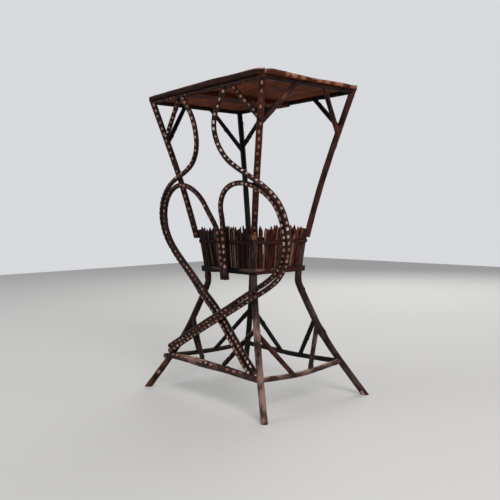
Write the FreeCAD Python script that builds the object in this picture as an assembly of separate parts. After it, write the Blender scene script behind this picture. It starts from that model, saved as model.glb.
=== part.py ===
import FreeCAD, Part
import math
import os
from FreeCAD import Placement, Rotation, Vector

# A rustic twig table: a board top on four leaning posts, a tapered picket basket half way down,
# four splayed legs tied by stretchers, and four bent stems that draw a heart on the front.
# Frame: origin on the floor under the middle, x along the long side, z up, front face at minus y.

# Overall size
table_height = 750.0
top_length = 439.0
top_width = 311.4
foot_reach_x = 223.0
foot_reach_y = 168.5
seat_gap = 0.25
overrun = 40.0
section_point_count = 10

# Tabletop
board_thickness = 10.0
board_gap = 0.8
edge_slip_thickness = 6.0
edge_slip_crown = 2.2
edge_slip_corner_clip = 5.0
top_rail_diameter = 9.0
batten_width = 46.0
batten_thickness = 12.0
batten_from_middle = -30.0
batten_end_inset = 4.0
board_count = 3

# Posts between the basket and the top
post_diameter = 15.0
post_inset_x = 11.0
post_inset_y = 8.2
post_foot_x = 108.0
post_foot_y = 88.0
post_line_shares = ((0.0, 0.0), (0.27, 0.21), (0.60, 0.55), (1.0, 1.0))

# Basket walls, which lean outwards; the back one stands further from the middle than the front one
rim_height_share = 0.404
wall_x = 93.5
wall_y = 77.5
back_wall_y = 85.5
wall_lean_x_share = 0.155
wall_lean_y_share = 0.10
rail_thickness = 5.5
rim_rail_width = 15.0
upper_rail_width = 14.0
upper_rail_rise = 70.0
rail_proud = 0.5
picket_length = 110.0
picket_width = 12.0
picket_thickness = 5.5
picket_point = 13.0
picket_side_gap = 1.0
picket_lift = 1.5
picket_face_share = 0.55
picket_cheek_share = 0.45
picket_length_shares = (0.97, 1.0, 0.95, 1.02, 0.98, 0.94, 1.01)
long_wall_picket_count = 10
short_wall_picket_count = 9
floor_thickness = 8.0
floor_lift = 2.0

# Legs, which stand inside the basket's corners and splay from a waist below its rim to the floor
leg_diameter = 15.5
leg_top_rise = 106.0
leg_waist_drop = 14.0
leg_line_shares = ((0.0, 1.0), (0.26, 0.655), (0.52, 0.362), (0.76, 0.167), (0.90, 0.060))

# Stretchers between the legs, each with the heights of its two ends and its own sag
stretcher_diameter = 12.5
stretcher_sag = 5.0
stretcher_height_shares = {
    "front": (0.1115, 0.1035),
    "right": (0.1050, 0.1080),
    "back": (0.1067, 0.1067),
    "left": (0.1085, 0.1013),
}
stretcher_sag_shares = {"front": 1.8, "right": 1.6, "back": 1.0, "left": 1.0}
left_stretcher_front_poke = 8.0
left_stretcher_back_poke = 12.0
stretcher_bend_share = 0.3

# Braces
brace_diameter = 10.5
brace_end_diameter = 9.5
upper_brace_height_shares = {
    "front_left": 0.857,
    "front_right": 0.871,
    "back_right": 0.867,
    "back_left": 0.846,
}
lower_brace_height_shares = {
    "front_left": 0.245,
    "front_right": 0.245,
    "back_right": 0.245,
    "back_left": 0.262,
}
upper_brace_reach_shares = {
    "front_left": 0.88,
    "front_right": 1.0,
    "back_right": 0.80,
    "back_left": 0.90,
}
brace_stagger = 12.0
upper_brace_reach_x = 102.0
upper_brace_reach_y = 44.0
lower_brace_reach_x = 34.0
lower_brace_reach_y = 27.0

# Bent stems of the heart on the front
stem_diameter = 11.5
heart_reach = 236.0
arch_foot_spread = 0.5
arch_foot_rise_shares = (-0.09, 0.80)
stem_rail_inset = 2.5
under_share = 0.8
leg_slant_share = 0.88
face_slant_share = 0.93
pair_gap = 1.0
arc_share = 0.3

# Corners and walls, as signs along x and y
corners = {
    "front_left": (-1, -1),
    "front_right": (1, -1),
    "back_right": (1, 1),
    "back_left": (-1, 1),
}
wall_turns = {"front": 0, "right": 90, "back": 180, "left": 270}

# Sizes that follow from the ones above
post_radius = post_diameter / 2
leg_radius = leg_diameter / 2
stem_radius = stem_diameter / 2
board_underside = table_height - board_thickness
top_rail_height = board_underside - top_rail_diameter / 2 - seat_gap
post_top_x = top_length / 2 - post_inset_x
post_top_y = top_width / 2 - post_inset_y
rim_height = table_height * rim_height_share
leg_inset_x = (leg_radius + seat_gap) * math.hypot(1, wall_lean_x_share) + wall_lean_x_share * leg_waist_drop
leg_inset_y = (leg_radius + seat_gap) * math.hypot(1, wall_lean_y_share) + wall_lean_y_share * leg_waist_drop
leg_waist_height = rim_height - leg_waist_drop
post_foot_height = rim_height + upper_rail_rise + upper_rail_width + seat_gap
everywhere = 2 * table_height


def between(start, end, share):
    return start + (end - start) * share


def section(at, along, diameter):
    """A twig's section: a closed ring of points with flats between, so that its bends stay light."""
    rim = Part.makeCircle(diameter / 2, at, along).discretize(section_point_count)
    rim[-1] = rim[0]
    return Part.makePolygon(rim)


def stick(points, diameter):
    """A twig of one diameter: straight runs joined by tangent arcs, as large as the runs allow."""
    edges = []
    begin = points[0]
    for before, corner, after in zip(points, points[1:], points[2:]):
        arriving = (before - corner).normalize()
        leaving = (after - corner).normalize()
        reach = arc_share * min(corner.distanceToPoint(before), corner.distanceToPoint(after))
        half_turn = (math.pi - arriving.getAngle(leaving)) / 2
        inwards = (arriving + leaving).normalize()
        radius = reach / math.tan(half_turn)
        arc_start = corner + arriving * reach
        arc_middle = corner + inwards * (radius / math.cos(half_turn) - radius)
        arc_end = corner + leaving * reach
        edges.append(Part.LineSegment(begin, arc_start).toShape())
        edges.append(Part.Arc(arc_start, arc_middle, arc_end).toShape())
        begin = arc_end
    edges.append(Part.LineSegment(begin, points[-1]).toShape())
    rim = section(points[0], points[1] - points[0], diameter)
    return Part.Wire(edges).makePipeShell([rim], True, False)


def tapered_stick(start, end, start_diameter, end_diameter):
    line = end - start
    rims = [section(start, line, start_diameter), section(end, line, end_diameter)]
    return Part.makeLoft(rims, True, True)


def fitted(piece, neighbours):
    """The piece with its ends scribed to its neighbours, which are given a seat gap larger."""
    for neighbour in neighbours:
        piece = piece.cut(neighbour)
    return max(piece.Solids, key=lambda solid: solid.Volume)


def block_below(height):
    corner = Vector(-everywhere, -everywhere, height - everywhere)
    return Part.makeBox(2 * everywhere, 2 * everywhere, everywhere, corner)


def block_above(height):
    corner = Vector(-everywhere, -everywhere, height)
    return Part.makeBox(2 * everywhere, 2 * everywhere, everywhere, corner)


# Centrelines of the frame
def at_corner(point, corner):
    """A point given for the corner where x and y are both positive, at a corner of its own."""
    sign_x, sign_y = corners[corner]
    return Vector(sign_x * point.x, sign_y * point.y, point.z)


def leg_line(corner):
    """From the floor up to the leg's hidden top inside the basket."""
    near_wall_y = back_wall_y if corner in ("back_right", "back_left") else wall_y
    waist = Vector(wall_x - leg_inset_x, near_wall_y - leg_inset_y, leg_waist_height)
    points = []
    for height_share, spread_share in leg_line_shares:
        across = between(waist.x, foot_reach_x, spread_share)
        deep = between(waist.y, foot_reach_y, spread_share)
        points.append(Vector(across, deep, waist.z * height_share))
    rise = leg_waist_drop + leg_top_rise
    points += [waist, waist + Vector(wall_lean_x_share * rise, wall_lean_y_share * rise, rise)]
    return [at_corner(point, corner) for point in points]


def post_line(corner):
    """From the post's foot on the basket's upper rails to the underside of the boards."""
    points = []
    for height_share, spread_share in post_line_shares:
        across = between(post_foot_x, post_top_x, spread_share)
        deep = between(post_foot_y, post_top_y, spread_share)
        height = between(post_foot_height, board_underside, height_share)
        points.append(at_corner(Vector(across, deep, height), corner))
    return points


def on_line(points, height):
    """The point of a centreline at a height."""
    for lower, upper in zip(points, points[1:]):
        if height <= upper.z:
            break
    return between(lower, upper, (height - lower.z) / (upper.z - lower.z))


def leg_stick(corner, diameter):
    points = leg_line(corner)
    points[0] = points[0] + (points[0] - points[1]).normalize() * overrun
    return stick(points, diameter)


def post_stick(corner, diameter):
    points = post_line(corner)
    points[0] = points[0] + (points[0] - points[1]).normalize() * overrun
    points[-1] = points[-1] + (points[-1] - points[-2]).normalize() * overrun
    return stick(points, diameter).cut(block_below(post_foot_height))


def leg_seat(corner):
    return leg_stick(corner, leg_diameter + 2 * seat_gap)


def post_seat(corner):
    return post_stick(corner, post_diameter + 2 * seat_gap)


def leg(corner):
    """Flat on the floor, and scooped near its top where the post is nailed to it."""
    return fitted(leg_stick(corner, leg_diameter), [block_below(0), post_seat(corner)])


def post(corner):
    return fitted(post_stick(corner, post_diameter), [block_above(board_underside)])


# Rails under the tabletop
def top_rail_ends(side):
    front_left = Vector(-post_top_x, -post_top_y, top_rail_height)
    front_right = Vector(post_top_x, -post_top_y, top_rail_height)
    back_right = Vector(post_top_x, post_top_y, top_rail_height)
    back_left = Vector(-post_top_x, post_top_y, top_rail_height)
    ends = {
        "front": (front_left, front_right),
        "right": (front_right, back_right),
        "back": (back_left, back_right),
        "left": (front_left, back_left),
    }
    return ends[side]


def side_corners(side):
    ends = {
        "front": ("front_left", "front_right"),
        "right": ("front_right", "back_right"),
        "back": ("back_left", "back_right"),
        "left": ("front_left", "back_left"),
    }
    return ends[side]


def top_rail_seat(side):
    return stick(top_rail_ends(side), top_rail_diameter + 2 * seat_gap)


def top_rail(side):
    """Runs from post to post; the short rails are also scribed to the long ones."""
    neighbours = [post_seat(corner) for corner in side_corners(side)]
    if side in ("left", "right"):
        neighbours += [top_rail_seat("front"), top_rail_seat("back")]
    return fitted(stick(top_rail_ends(side), top_rail_diameter), neighbours)


# Tabletop
def top_board(index):
    inner_length = top_length - 2 * edge_slip_thickness
    inner_width = top_width - 2 * edge_slip_thickness
    width = (inner_width - (board_count - 1) * board_gap) / board_count
    front = -inner_width / 2 + index * (width + board_gap)
    corner = Vector(-inner_length / 2, front, board_underside)
    return Part.makeBox(inner_length, width, board_thickness, corner)


def top_batten():
    """Lies under the boards across the middle, notched over the front and back rails."""
    length = top_width - 2 * batten_end_inset
    batten_side = batten_from_middle - batten_width / 2
    low_corner = Vector(batten_side, -length / 2, board_underside - batten_thickness)
    piece = Part.makeBox(batten_width, length, batten_thickness, low_corner)
    notch_width = top_rail_diameter + 2 * seat_gap
    notch_floor = top_rail_height - notch_width / 2
    for side_sign in (-1, 1):
        notch_corner = Vector(low_corner.x - overrun, side_sign * post_top_y - notch_width / 2, notch_floor)
        notch = Part.makeBox(batten_width + 2 * overrun, notch_width, overrun, notch_corner)
        piece = piece.cut(notch)
    return piece


def half_round_profile(thickness, crown, width):
    """A split twig's section in y and z: flat at y zero, with its bark side at minus y."""
    low_back = Vector(0, 0, 0)
    high_back = Vector(0, 0, width)
    low_edge = Vector(0, crown - thickness, 0)
    high_edge = Vector(0, crown - thickness, width)
    bark = Vector(0, -thickness, width / 2)
    edges = [
        Part.LineSegment(high_edge, high_back).toShape(),
        Part.LineSegment(high_back, low_back).toShape(),
        Part.LineSegment(low_back, low_edge).toShape(),
        Part.Arc(low_edge, bark, high_edge).toShape(),
    ]
    return Part.Face(Part.Wire(edges))


def half_round_strip(length, thickness, crown, width):
    strip = half_round_profile(thickness, crown, width).extrude(Vector(length, 0, 0))
    strip.translate(Vector(-length / 2, 0, 0))
    return strip


def clipped_outline():
    """The tabletop's outline with its corners clipped, as a block."""
    half_length = top_length / 2
    half_width = top_width / 2
    clip = edge_slip_corner_clip
    corner_places = ((-1, -1), (1, -1), (1, 1), (-1, 1))
    outline = []
    for sign_x, sign_y in corner_places:
        on_side = Vector(sign_x * half_length, sign_y * (half_width - clip), board_underside)
        on_end = Vector(sign_x * (half_length - clip), sign_y * half_width, board_underside)
        outline += [on_side, on_end] if sign_x * sign_y > 0 else [on_end, on_side]
    ring = Part.makePolygon(outline + outline[:1])
    return Part.Face(ring).extrude(Vector(0, 0, board_thickness))


def edge_slip(side):
    """Covers the boards' edges; the long slips run over the ends of the short ones."""
    inner_length = top_length - 2 * edge_slip_thickness
    inner_width = top_width - 2 * edge_slip_thickness
    if side in ("front", "back"):
        length, out = top_length, inner_width / 2
    else:
        length, out = inner_width, inner_length / 2
    slip = half_round_strip(length, edge_slip_thickness, edge_slip_crown, board_thickness)
    slip.translate(Vector(0, -out, board_underside))
    slip.rotate(Vector(0, 0, 0), Vector(0, 0, 1), wall_turns[side])
    return slip.common(clipped_outline()).Solids[0]


# Basket
def wall_sizes(side):
    """Half length along the wall, its distance from the middle, and the leans along and across it."""
    if side == "front":
        return wall_x, wall_y, wall_lean_x_share, wall_lean_y_share
    if side == "back":
        return wall_x, back_wall_y, wall_lean_x_share, wall_lean_y_share
    return (wall_y + back_wall_y) / 2, wall_x, wall_lean_y_share, wall_lean_x_share


def wall_shift(side):
    """How far a wall's middle lies along it from the table's, as the back wall is further out."""
    shift = (back_wall_y - wall_y) / 2
    return {"front": 0, "right": shift, "back": 0, "left": -shift}[side]


def on_wall(piece, side):
    """Carries a piece drawn flat, with its outside at minus y, onto a leaning wall."""
    distance = wall_sizes(side)[1]
    lean = math.degrees(math.atan(wall_sizes(side)[3]))
    tilt = Placement(Vector(wall_shift(side), -distance, rim_height), Rotation(Vector(1, 0, 0), lean))
    turn = Placement(Vector(0, 0, 0), Rotation(Vector(0, 0, 1), wall_turns[side]))
    placed = piece.copy()
    placed.Placement = turn.multiply(tilt).multiply(piece.Placement)
    return placed


def block_outside(side, depth):
    """Everything outside a plane that lies this deep inside a wall's outer picket face."""
    corner = Vector(-everywhere, depth - everywhere, -everywhere)
    block = Part.makeBox(2 * everywhere, everywhere, 2 * everywhere, corner)
    return on_wall(block, side)


def basket_rail(side, rise, width):
    """The long rails run past the corners; the short ones stop between them."""
    half_wall, _, lean_along_share, _ = wall_sizes(side)
    half_length = half_wall + lean_along_share * (rise + width) + rail_thickness + rail_proud
    strip = half_round_strip(2 * half_length, rail_thickness, rail_thickness / 2, width)
    strip.translate(Vector(0, 0, rise))
    rail = on_wall(strip, side)
    if side in ("left", "right"):
        rail = fitted(rail, [block_outside("front", seat_gap), block_outside("back", seat_gap)])
    return rail


def rim_rail(side):
    return basket_rail(side, 0, rim_rail_width)


def upper_rail(side):
    return basket_rail(side, upper_rail_rise, upper_rail_width)


def picket(length):
    """A split picket with dressed edges and a whittled point."""
    half = picket_width / 2
    cheek = picket_thickness * picket_cheek_share
    face = half * picket_face_share
    section = [
        Vector(-half, picket_thickness, 0),
        Vector(half, picket_thickness, 0),
        Vector(half, cheek, 0),
        Vector(face, 0, 0),
        Vector(-face, 0, 0),
        Vector(-half, cheek, 0),
    ]
    stave = Part.Face(Part.makePolygon(section + section[:1])).extrude(Vector(0, 0, length))
    outline = [
        Vector(-half, -overrun, 0),
        Vector(half, -overrun, 0),
        Vector(half, -overrun, length - picket_point),
        Vector(0, -overrun, length),
        Vector(-half, -overrun, length - picket_point),
    ]
    pointed = Part.Face(Part.makePolygon(outline + outline[:1])).extrude(Vector(0, 2 * overrun, 0))
    return stave.common(pointed)


def picket_row(side):
    """Pickets between two legs, which fan out as the wall widens towards its top."""
    half_wall, _, lean_along_share, _ = wall_sizes(side)
    count = long_wall_picket_count if side in ("front", "back") else short_wall_picket_count
    low_half = half_wall - leg_diameter - picket_side_gap
    high_half = low_half + lean_along_share * picket_length
    solids = []
    for index in range(count):
        place_share = (2 * index + 1) / count - 1
        fan = math.atan((high_half - low_half) * place_share / picket_length)
        length = picket_length * picket_length_shares[index % len(picket_length_shares)]
        stave = picket(length)
        stave.rotate(Vector(0, 0, 0), Vector(0, 1, 0), math.degrees(fan))
        stave.translate(Vector(low_half * place_share, 0, picket_lift))
        solids.append(on_wall(stave, side))
    return Part.makeCompound(solids)


def basket_floor():
    """A thin board inside the pickets' feet, notched round the four legs."""
    corner = Vector(-wall_x, -wall_y, rim_height + floor_lift)
    board = Part.makeBox(2 * wall_x, wall_y + back_wall_y, floor_thickness, corner)
    inside = [block_outside(side, picket_thickness + seat_gap) for side in wall_turns]
    return fitted(board, inside + [leg_seat(name) for name in corners])


# Stretchers
def stretcher_points(side):
    """Between two legs, or across the outside of both on the left, with its sawn ends past them."""
    ends = []
    for corner, height_share in zip(side_corners(side), stretcher_height_shares[side]):
        height = table_height * height_share
        ends.append(left_of_leg(corner, height) if side == "left" else on_line(leg_line(corner), height))
    if side == "left":
        ends[0] -= Vector(0, left_stretcher_front_poke, 0)
        ends[1] += Vector(0, left_stretcher_back_poke, 0)
    start, end = ends
    drop = Vector(0, 0, -stretcher_sag * stretcher_sag_shares[side])
    near = between(start, end, stretcher_bend_share) + drop
    far = between(end, start, stretcher_bend_share) + drop
    return [start, near, far, end]


def left_of_leg(corner, height):
    """Where a stretcher lies against the outside of a left leg."""
    joint = on_line(leg_line(corner), height)
    slope = on_line(leg_line(corner), height + overrun).x - joint.x
    sideways_share = overrun / math.hypot(overrun, slope)
    return joint - Vector((leg_radius + stretcher_diameter / 2 + seat_gap) / sideways_share, 0, 0)


def stretcher_seat(side):
    return stick(stretcher_points(side), stretcher_diameter + 2 * seat_gap)


def stretcher(side):
    """Runs from leg to leg; the right one is also scribed to the front and back ones."""
    neighbours = [leg_seat(corner) for corner in side_corners(side)]
    if side == "right":
        neighbours += [stretcher_seat("front"), stretcher_seat("back")]
    return fitted(stick(stretcher_points(side), stretcher_diameter), neighbours)


# Braces
def brace_height(side, height_share):
    """The braces of the short sides start lower, so that two on one post do not meet."""
    height = table_height * height_share
    return height if side in ("front", "back") else height - brace_stagger


def upper_brace(side, corner):
    """From a post up to the rail under the tabletop."""
    start = on_line(post_line(corner), brace_height(side, upper_brace_height_shares[corner]))
    if side in ("front", "back"):
        end = Vector(upper_brace_reach_x * upper_brace_reach_shares[corner], post_top_y, top_rail_height)
    else:
        end = Vector(post_top_x, upper_brace_reach_y, top_rail_height)
    whole = tapered_stick(start, at_corner(end, corner), brace_diameter, brace_end_diameter)
    return fitted(whole, [post_seat(corner), top_rail_seat(side)])


def lower_brace(side, corner):
    """From a leg down to the stretcher of its side."""
    start = on_line(leg_line(corner), brace_height(side, lower_brace_height_shares[corner]))
    points = stretcher_points(side)
    resting = between(points[1], points[2], 0.5)
    if side in ("front", "back"):
        end = Vector(corners[corner][0] * lower_brace_reach_x, resting.y, resting.z)
    else:
        end = Vector(resting.x, corners[corner][1] * lower_brace_reach_y, resting.z)
    whole = tapered_stick(start, end, brace_diameter, brace_end_diameter)
    return fitted(whole, [leg_seat(corner), stretcher_seat(side)])


# Bent stems on the front. Each row of a route gives its place across as a share of the heart's reach,
# its height as a share of the table's height, and how far it stands off the frame's centre plane.
on_rail = 0.0
on_frame = max(leg_radius, post_radius) + stem_radius + seat_gap
on_leg = on_frame / leg_slant_share
pair_spacing = stem_diameter + pair_gap
half_way = on_frame / 2
under = on_frame * under_share
over = under + (stem_diameter + seat_gap) / face_slant_share
over_leaving = between(over, on_leg, 0.4)

left_stem_lobe_shares = (
    (-0.352, None, on_rail),
    (-0.262, 0.947, half_way),
    (-0.178, 0.912, under),
    (-0.140, 0.866, on_frame),
    (-0.160, 0.812, on_frame),
    (-0.255, 0.767, on_frame),
    (-0.410, 0.738, on_frame),
    (-0.610, 0.719, on_frame),
    (-0.800, 0.690, on_frame),
    (-0.940, 0.645, on_frame),
    (-1.007, 0.584, on_frame),
    (-0.966, 0.522, on_frame),
    (-0.856, 0.465, on_frame),
    (-0.706, 0.412, on_frame),
    (-0.540, 0.366, on_frame),
    (-0.375, 0.3275, on_frame),
)
left_run_shares = (
    (-0.150, 0.284, under),
    (0.085, 0.233, under),
    (0.290, 0.188, on_frame),
    (0.500, 0.147, on_leg),
    (0.675, 0.113, on_leg),
)
right_stem_lobe_shares = (
    (0.352, None, on_rail),
    (0.265, 0.940, half_way),
    (0.185, 0.903, under),
    (0.145, 0.860, on_frame),
    (0.165, 0.812, on_frame),
    (0.260, 0.765, on_frame),
    (0.415, 0.732, on_frame),
    (0.610, 0.700, on_frame),
    (0.800, 0.666, on_frame),
    (0.940, 0.621, on_frame),
    (1.000, 0.560, on_frame),
    (0.990, 0.497, on_frame),
    (0.910, 0.443, on_frame),
    (0.770, 0.395, on_frame),
    (0.590, 0.359, on_frame),
    (0.390, 0.3285, on_frame),
)
right_run_shares = (
    (0.150, 0.280, over),
    (-0.130, 0.233, over),
    (-0.390, 0.186, over_leaving),
    (-0.690, 0.131, on_leg),
)
left_arch_lobe_shares = (
    (-0.082, 0.562, half_way),
    (-0.140, 0.605, on_frame),
    (-0.215, 0.646, on_frame),
    (-0.330, 0.677, on_frame),
    (-0.480, 0.695, on_frame),
    (-0.630, 0.692, on_frame),
    (-0.775, 0.665, on_frame),
    (-0.880, 0.620, on_frame),
    (-0.918, 0.562, on_frame),
    (-0.868, 0.505, on_frame),
    (-0.757, 0.456, on_frame),
    (-0.616, 0.411, on_frame),
    (-0.465, 0.372, on_frame),
    (-0.310, 0.340, on_frame),
)
right_arch_lobe_shares = (
    (0.045, 0.572, half_way),
    (0.065, 0.620, on_frame),
    (0.130, 0.660, on_frame),
    (0.250, 0.684, on_frame),
    (0.410, 0.690, on_frame),
    (0.570, 0.679, on_frame),
    (0.735, 0.655, on_frame),
    (0.870, 0.612, on_frame),
    (0.935, 0.552, on_frame),
    (0.915, 0.490, on_frame),
    (0.820, 0.438, on_frame),
    (0.685, 0.399, on_frame),
    (0.513, 0.367, on_frame),
    (0.335, 0.340, on_frame),
)


def frame_depth(height):
    """How far the front posts' and legs' centre plane stands in front of the middle at a height."""
    legs_below_rim = [point for point in leg_line("front_right") if point.z <= rim_height]
    return -on_line(legs_below_rim + post_line("front_right"), height).y


def stem_point(row):
    across_share, height_share, stand_off = row
    if height_share is None:
        height = top_rail_height - stem_rail_inset
    else:
        height = table_height * height_share
    return Vector(heart_reach * across_share, -frame_depth(height) - stand_off, height)


def run_above(run_shares):
    """The run that lies against the upper side of another, as seen from the front."""
    first, last = run_shares[0], run_shares[-1]
    across = (last[0] - first[0]) * heart_reach
    down = (first[1] - last[1]) * table_height
    length = math.hypot(across, down)
    shift_share = math.copysign(pair_spacing, across) * down / length / heart_reach
    rise_share = pair_spacing * abs(across) / length / table_height
    return [(row[0] + shift_share, row[1] + rise_share, row[2]) for row in run_shares]


def bent_stem(lobe_shares, run_shares):
    """Butts up under the front rail, crosses its post, swings out as a lobe and ends on the far leg."""
    route = [stem_point(row) for row in lobe_shares + run_shares]
    return fitted(stick(route, stem_diameter), [top_rail_seat("front")])


def arch_foot_points(side_sign):
    """The sawn lower end of an arch, nailed over both basket rails beside its twin."""
    across = side_sign * (stem_radius + arch_foot_spread)
    off_wall = rail_thickness + stem_radius + seat_gap
    points = []
    for rise_share in arch_foot_rise_shares:
        rise = picket_length * rise_share
        points.append(Vector(across, -wall_y - wall_lean_y_share * rise - off_wall, rim_height + rise))
    return points


def bent_arch(lobe_shares, run_shares):
    """Rises in front of the pickets, arches over and lies against its stem down to the far leg."""
    side_sign = math.copysign(1, lobe_shares[0][0])
    route = [stem_point(row) for row in list(lobe_shares) + run_above(run_shares)]
    return stick(arch_foot_points(side_sign) + route, stem_diameter)


def all_pieces():
    pieces = {}
    for index, name in enumerate(("front", "middle", "back")):
        pieces["top_board_" + name] = top_board(index)
    pieces["top_batten"] = top_batten()
    for side in wall_turns:
        pieces["edge_slip_" + side] = edge_slip(side)
        pieces["top_rail_" + side] = top_rail(side)
        pieces["basket_rim_rail_" + side] = rim_rail(side)
        pieces["basket_upper_rail_" + side] = upper_rail(side)
        pieces["basket_pickets_" + side] = picket_row(side)
        pieces["stretcher_" + side] = stretcher(side)
        for corner in side_corners(side):
            end = corner.split("_")[1] if side in ("front", "back") else corner.split("_")[0]
            pieces["upper_brace_" + side + "_side_" + end] = upper_brace(side, corner)
            pieces["lower_brace_" + side + "_side_" + end] = lower_brace(side, corner)
    for corner in corners:
        pieces["post_" + corner] = post(corner)
        pieces["leg_" + corner] = leg(corner)
    pieces["basket_floor"] = basket_floor()
    pieces["heart_stem_left"] = bent_stem(left_stem_lobe_shares, left_run_shares)
    pieces["heart_stem_right"] = bent_stem(right_stem_lobe_shares, right_run_shares)
    pieces["heart_arch_left"] = bent_arch(left_arch_lobe_shares, left_run_shares)
    pieces["heart_arch_right"] = bent_arch(right_arch_lobe_shares, right_run_shares)
    return pieces


def main():
    os.makedirs("parts", exist_ok=True)
    for name, shape in all_pieces().items():
        shape.exportStep("parts/" + name + ".step")
        print(name, len(shape.Solids), shape.isValid(), round(shape.Volume))


main()
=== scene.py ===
import math
import random

import bmesh
import bpy
from mathutils import Matrix, Vector, noise


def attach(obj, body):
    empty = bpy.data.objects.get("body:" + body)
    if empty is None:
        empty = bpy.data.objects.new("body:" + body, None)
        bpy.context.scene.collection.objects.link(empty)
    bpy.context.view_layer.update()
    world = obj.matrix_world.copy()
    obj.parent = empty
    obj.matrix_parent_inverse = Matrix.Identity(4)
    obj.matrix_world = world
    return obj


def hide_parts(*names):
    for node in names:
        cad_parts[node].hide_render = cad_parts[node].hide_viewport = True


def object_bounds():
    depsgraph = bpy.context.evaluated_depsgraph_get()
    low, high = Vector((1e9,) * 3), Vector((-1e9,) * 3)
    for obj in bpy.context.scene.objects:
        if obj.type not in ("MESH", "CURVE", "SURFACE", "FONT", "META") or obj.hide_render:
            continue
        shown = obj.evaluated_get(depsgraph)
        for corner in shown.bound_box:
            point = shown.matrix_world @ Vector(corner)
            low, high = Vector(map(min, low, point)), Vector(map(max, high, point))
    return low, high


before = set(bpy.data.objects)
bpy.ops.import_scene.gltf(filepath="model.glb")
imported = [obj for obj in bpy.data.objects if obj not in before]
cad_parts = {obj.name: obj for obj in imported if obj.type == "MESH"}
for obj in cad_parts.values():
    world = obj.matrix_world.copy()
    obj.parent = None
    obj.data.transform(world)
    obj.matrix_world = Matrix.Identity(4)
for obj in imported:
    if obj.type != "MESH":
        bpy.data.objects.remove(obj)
cad_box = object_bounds()

# The table's own sizes, in metres: those of its solids, but for thicker braces and the front stretcher's sag
table_height = cad_box[1][2]
top_length = 0.439
top_width = 0.3114
board_thickness = 0.010
slip_thickness = 0.006
top_corner_radius = 0.011
foot_reach_x = 0.223
foot_reach_y = 0.1685
seat_gap = 0.00025

post_diameter = 0.015
post_inset_x = 0.011
post_inset_y = 0.0082
post_top_x = top_length / 2 - post_inset_x
post_top_y = top_width / 2 - post_inset_y
post_foot_x = 0.108
post_foot_y = 0.088
post_line_shares = ((0.0, 0.0), (0.27, 0.21), (0.60, 0.55), (1.0, 1.0))

rim_height_share = 0.404
rim_height = table_height * rim_height_share
wall_x = 0.0935
wall_y = 0.0775
back_wall_y = 0.0855
wall_lean_x = 0.155
wall_lean_y = 0.10
rail_thickness = 0.0055
rail_proud = 0.0005
rim_rail_width = 0.015
upper_rail_width = 0.014
upper_rail_rise = 0.070
picket_length = 0.110
picket_thickness = 0.0055
picket_lift = 0.0015
picket_counts = {"front": 10, "right": 9, "back": 10, "left": 9}

leg_diameter = 0.0155
leg_top_rise = 0.106
leg_waist_drop = 0.014
leg_line_shares = ((0.0, 1.0), (0.26, 0.655), (0.52, 0.362), (0.76, 0.167), (0.90, 0.060))

stretcher_diameter = 0.0125
stretcher_sag = 0.005
sag_bend_share = 0.3
stretcher_heights = {
    "front": (0.1115, 0.1035), "right": (0.1050, 0.1080), "back": (0.1067, 0.1067), "left": (0.1085, 0.1013),
}
stretcher_sag_shares = {"front": -0.6, "right": 1.6, "back": 1.0, "left": 1.0}
left_stretcher_pokes = (0.008, 0.012)
top_rail_diameter = 0.009
brace_diameter = 0.0122
brace_end_diameter = 0.0112
brace_stagger = 0.012
upper_brace_heights = {"front_left": 0.857, "front_right": 0.871, "back_right": 0.867, "back_left": 0.846}
upper_brace_reaches = {"front_left": 0.88, "front_right": 1.0, "back_right": 0.80, "back_left": 0.90}
lower_brace_heights = {"front_left": 0.245, "front_right": 0.245, "back_right": 0.245, "back_left": 0.262}
upper_brace_reach_x = 0.102
upper_brace_reach_y = 0.044
lower_brace_reach_x = 0.034
lower_brace_reach_y = 0.027
stem_diameter = 0.0115
heart_reach = 0.236
pair_gap = 0.001
arch_foot_drop = 0.005
arch_foot_shares = (-0.09, 0.80)

post_radius = post_diameter / 2
leg_radius = leg_diameter / 2
stem_radius = stem_diameter / 2
board_underside = table_height - board_thickness
top_rail_height = board_underside - top_rail_diameter / 2 - seat_gap
post_foot_height = rim_height + upper_rail_rise + upper_rail_width + seat_gap
leg_inset_x = (leg_radius + seat_gap) * math.hypot(1, wall_lean_x) + wall_lean_x * leg_waist_drop
leg_inset_y = (leg_radius + seat_gap) * math.hypot(1, wall_lean_y) + wall_lean_y * leg_waist_drop

corners = {"front_left": (-1, -1), "front_right": (1, -1), "back_right": (1, 1), "back_left": (-1, 1)}
side_corners = {
    "front": ("front_left", "front_right"),
    "right": ("front_right", "back_right"),
    "back": ("back_left", "back_right"),
    "left": ("front_left", "back_left"),
}
outwards = {"front": Vector((0, -1, 0)), "right": Vector((1, 0, 0)), "back": Vector((0, 1, 0)),
            "left": Vector((-1, 0, 0))}
long_sides = ("front", "back")
wall_turns = {"front": 0, "right": 90, "back": 180, "left": 270}


# Centrelines
def between(start, end, share):
    return start + (end - start) * share


def at_corner(point, corner):
    sign_x, sign_y = corners[corner]
    return Vector((sign_x * point.x, sign_y * point.y, point.z))


def on_line(points, height):
    for lower, upper in zip(points, points[1:]):
        if height <= upper.z:
            break
    return between(lower, upper, (height - lower.z) / (upper.z - lower.z))


def leg_line(corner):
    """From the floor up to the hidden top inside the basket."""
    near_wall_y = back_wall_y if corner.startswith("back") else wall_y
    waist = Vector((wall_x - leg_inset_x, near_wall_y - leg_inset_y, rim_height - leg_waist_drop))
    foot = Vector((foot_reach_x, foot_reach_y, 0))
    points = []
    for height_share, spread_share in leg_line_shares:
        point = between(waist, foot, spread_share)
        points.append(Vector((point.x, point.y, waist.z * height_share)))
    rise = leg_waist_drop + leg_top_rise
    points += [waist, waist + Vector((wall_lean_x, wall_lean_y, 1)) * rise]
    return [at_corner(point, corner) for point in points]


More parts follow.
